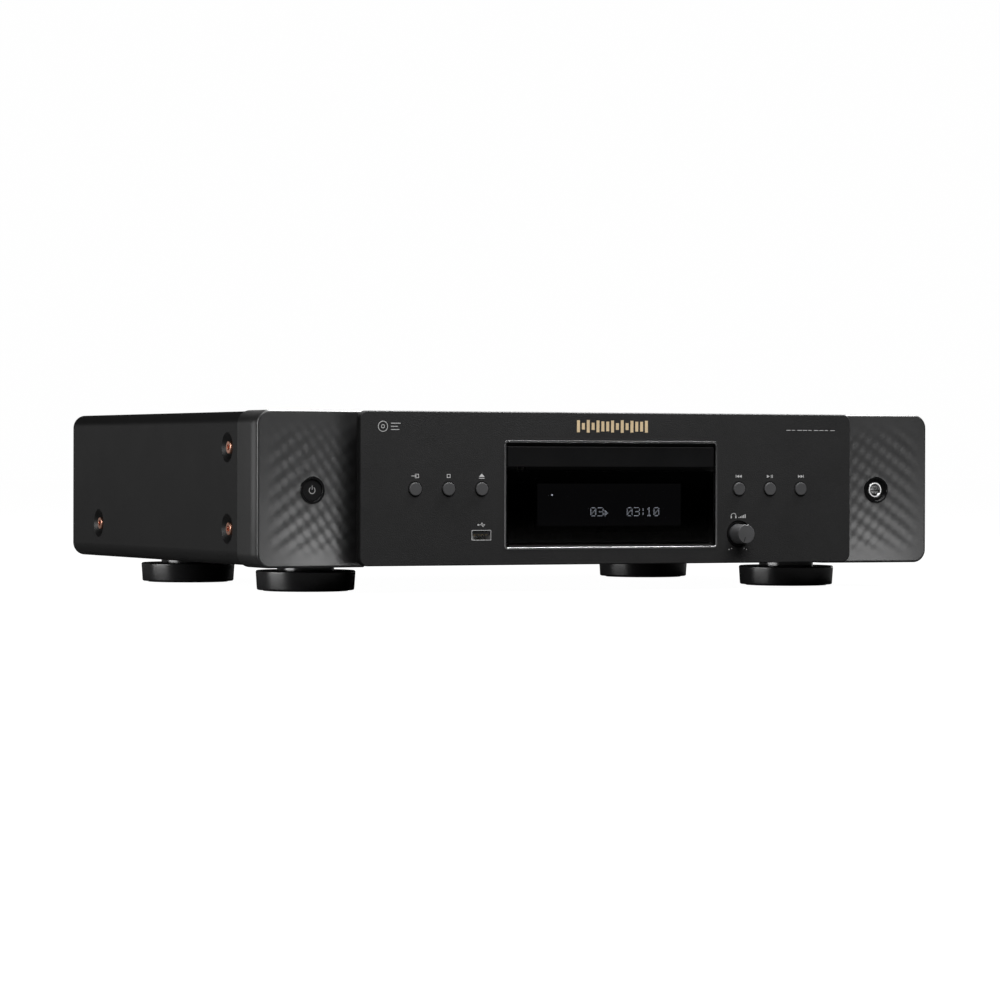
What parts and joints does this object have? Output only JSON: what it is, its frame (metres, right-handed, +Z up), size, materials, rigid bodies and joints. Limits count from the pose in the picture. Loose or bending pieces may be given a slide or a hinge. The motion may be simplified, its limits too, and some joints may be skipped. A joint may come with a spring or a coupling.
{
  "type": "cd player",
  "caption": "Low, wide disc player: flat front plate with window and sliding tray between two hollow-curved cheeks, under a folded cover on round feet.",
  "frame": {"origin": "on the surface that the feet stand on, under the middle of the whole box", "axes": "+X to the right seen from the front, +Y towards the rear, +Z up"},
  "size_m": [0.442, 0.3454, 0.1053],
  "materials": {
    "plate_black": "fine matt anodised",
    "wing_black": "satin, with a soft diamond relief",
    "cover_black": "matt powder coat",
    "chassis_steel": "zinc-plated sheet",
    "rear_black": "matt paint",
    "trim_silver": "bright turned edge",
    "door_black": "brushed black anodised",
    "window_smoke": "polished smoked acrylic",
    "screen_glass": "dark luminous panel",
    "frame_plastic": "moulded black",
    "button_black": "satin anodised with a bevelled edge",
    "ring_black": "polished moulded black",
    "socket_chrome": "plated",
    "usb_steel": "nickel-plated shell",
    "control_black": "moulded",
    "screw_copper": "copper-plated",
    "screw_steel": "black zinc",
    "foot_black": "satin moulded black",
    "pad_rubber": "soft matt",
    "tray_plastic": "fine-grained moulding",
    "gear_white": "acetal moulding",
    "belt_rubber": "ground rubber",
    "motor_steel": "drawn can",
    "traverse_steel": "plated pressing",
    "rod_steel": "ground and polished",
    "turntable_grey": "moulded with a soft seat",
    "lens_glass": "coated lens in its holder",
    "board_green": "solder-masked board",
    "capacitor_black": "sleeved can",
    "sink_aluminium": "plain extrusion",
    "core_steel": "varnished laminations",
    "coil_copper": "enamelled winding under tape",
    "socket_black": "moulded body with gilt contacts"
  },
  "bodies": {
    "chassis": {"audio_board": "board_green", "bottom_chassis": "chassis_steel", "capacitors": "capacitor_black", "chassis_screws": "screw_steel", "clamp_bridge": "tray_plastic", "cover_screws": "screw_copper", "digital_sockets": "socket_black", "display_panel": "screen_glass", "display_window": "window_smoke", "drive_belt": "belt_rubber", "foot_front_left": "foot_black", "foot_front_right": "foot_black", "foot_pads": "pad_rubber", "foot_rear_left": "foot_black", "foot_rear_right": "foot_black", "foot_screws": "screw_steel", "front_frame": "frame_plastic", "front_plate": "plate_black", "headphone_jack": "socket_chrome", "headphone_ring": "ring_black", "heatsink": "sink_aluminium", "left_wing": "wing_black", "level_control": "control_black", "line_sockets": "socket_black", "loader_frame": "frame_plastic", "loading_motor": "motor_steel", "mains_inlet": "socket_black", "power_board": "board_green", "power_ring": "ring_black", "rear_panel": "rear_black", "remote_sockets": "socket_black", "right_wing": "wing_black", "switch_boards": "board_green", "top_cover": "cover_black", "transformer_coil": "coil_copper", "transformer_core": "core_steel", "usb_socket": "usb_steel", "window_trim": "trim_silver"},
    "tray": {"tray": "tray_plastic", "tray_door": "door_black"},
    "drive_gear": {"drive_gear": "gear_white"},
    "belt_gear": {"belt_gear": "gear_white"},
    "motor_pulley": {"motor_pulley": "gear_white"},
    "clamper": {"clamper": "tray_plastic"},
    "traverse": {"traverse_base": "traverse_steel", "guide_rods": "rod_steel", "spindle_motor": "motor_steel", "sled_motor": "motor_steel"},
    "turntable": {"turntable": "turntable_grey"},
    "lead_screw": {"lead_screw": "rod_steel"},
    "pickup": {"pickup": "tray_plastic"},
    "pickup_lens": {"pickup_lens": "lens_glass"},
    "power_button": {"power_button": "button_black"},
    "input_button": {"input_button": "button_black"},
    "stop_button": {"stop_button": "button_black"},
    "open_button": {"open_button": "button_black"},
    "previous_button": {"previous_button": "button_black"},
    "play_button": {"play_button": "button_black"},
    "next_button": {"next_button": "button_black"},
    "level_knob": {"level_knob": "button_black"}
  },
  "joints": [
    {"name": "tray_slide", "type": "slide", "parent": "chassis", "child": "tray", "axis": [0, -1, 0], "range_m": [0, 0.136]},
    {"name": "drive_gear_spin", "type": "hinge", "parent": "chassis", "child": "drive_gear", "pos_m": [-0.044, -0.12625, 0.0622], "axis": [0, 0, 1], "range_deg": [0, 650.4]},
    {"name": "belt_gear_spin", "type": "hinge", "parent": "chassis", "child": "belt_gear", "pos_m": [-0.025, -0.12625, 0.0572], "axis": [0, 0, 1], "range_deg": [-1114.2, 0]},
    {"name": "motor_pulley_spin", "type": "hinge", "parent": "chassis", "child": "motor_pulley", "pos_m": [0.024, -0.12625, 0.0572], "axis": [0, 0, 1], "range_deg": [-4135.7, 0]},
    {"name": "traverse_tilt", "type": "hinge", "parent": "chassis", "child": "traverse", "pos_m": [0, 0.01475, 0.06125], "axis": [1, 0, 0], "range_deg": [0, 7.01]},
    {"name": "turntable_spin", "type": "hinge", "parent": "traverse", "child": "turntable", "pos_m": [0, -0.09125, 0.0807], "axis": [0, 0, 1], "continuous": true},
    {"name": "clamper_spin", "type": "hinge", "parent": "chassis", "child": "clamper", "pos_m": [0, -0.09125, 0.0821], "axis": [0, 0, 1], "continuous": true},
    {"name": "pickup_slide", "type": "slide", "parent": "traverse", "child": "pickup", "axis": [0, 1, 0], "range_m": [0, 0.034]},
    {"name": "lead_screw_spin", "type": "hinge", "parent": "traverse", "child": "lead_screw", "pos_m": [-0.034, -0.07125, 0.0685], "axis": [0, 1, 0], "range_deg": [0, 4081]},
    {"name": "lens_focus", "type": "slide", "parent": "pickup", "child": "pickup_lens", "axis": [0, 0, 1], "range_m": [-0.0006, 0.0006], "stiffness_N_per_m": 100},
    {"name": "power_press", "type": "slide", "parent": "chassis", "child": "power_button", "axis": [0, 1, 0], "range_m": [0, 0.0008], "stiffness_N_per_m": 800},
    {"name": "input_press", "type": "slide", "parent": "chassis", "child": "input_button", "axis": [0, 1, 0], "range_m": [0, 0.0008], "stiffness_N_per_m": 800},
    {"name": "stop_press", "type": "slide", "parent": "chassis", "child": "stop_button", "axis": [0, 1, 0], "range_m": [0, 0.0008], "stiffness_N_per_m": 800},
    {"name": "open_press", "type": "slide", "parent": "chassis", "child": "open_button", "axis": [0, 1, 0], "range_m": [0, 0.0008], "stiffness_N_per_m": 800},
    {"name": "previous_press", "type": "slide", "parent": "chassis", "child": "previous_button", "axis": [0, 1, 0], "range_m": [0, 0.0008], "stiffness_N_per_m": 800},
    {"name": "play_press", "type": "slide", "parent": "chassis", "child": "play_button", "axis": [0, 1, 0], "range_m": [0, 0.0008], "stiffness_N_per_m": 800},
    {"name": "next_press", "type": "slide", "parent": "chassis", "child": "next_button", "axis": [0, 1, 0], "range_m": [0, 0.0008], "stiffness_N_per_m": 800},
    {"name": "level_turn", "type": "hinge", "parent": "chassis", "child": "level_knob", "pos_m": [0.0848, -0.16325, 0.0335], "axis": [0, 1, 0], "range_deg": [0, 300]}
  ],
  "couplings": [
    {"joint": "drive_gear_spin", "follows": "tray_slide", "rad_per_m": 83.333},
    {"joint": "belt_gear_spin", "follows": "tray_slide", "rad_per_m": -142.86},
    {"joint": "motor_pulley_spin", "follows": "tray_slide", "rad_per_m": -530.61},
    {"joint": "traverse_tilt", "follows": "tray_slide", "rad_per_m": 0.89833},
    {"joint": "clamper_spin", "follows": "turntable_spin", "ratio": 1},
    {"joint": "lead_screw_spin", "follows": "pickup_slide", "rad_per_m": 2094.4}
  ]
}
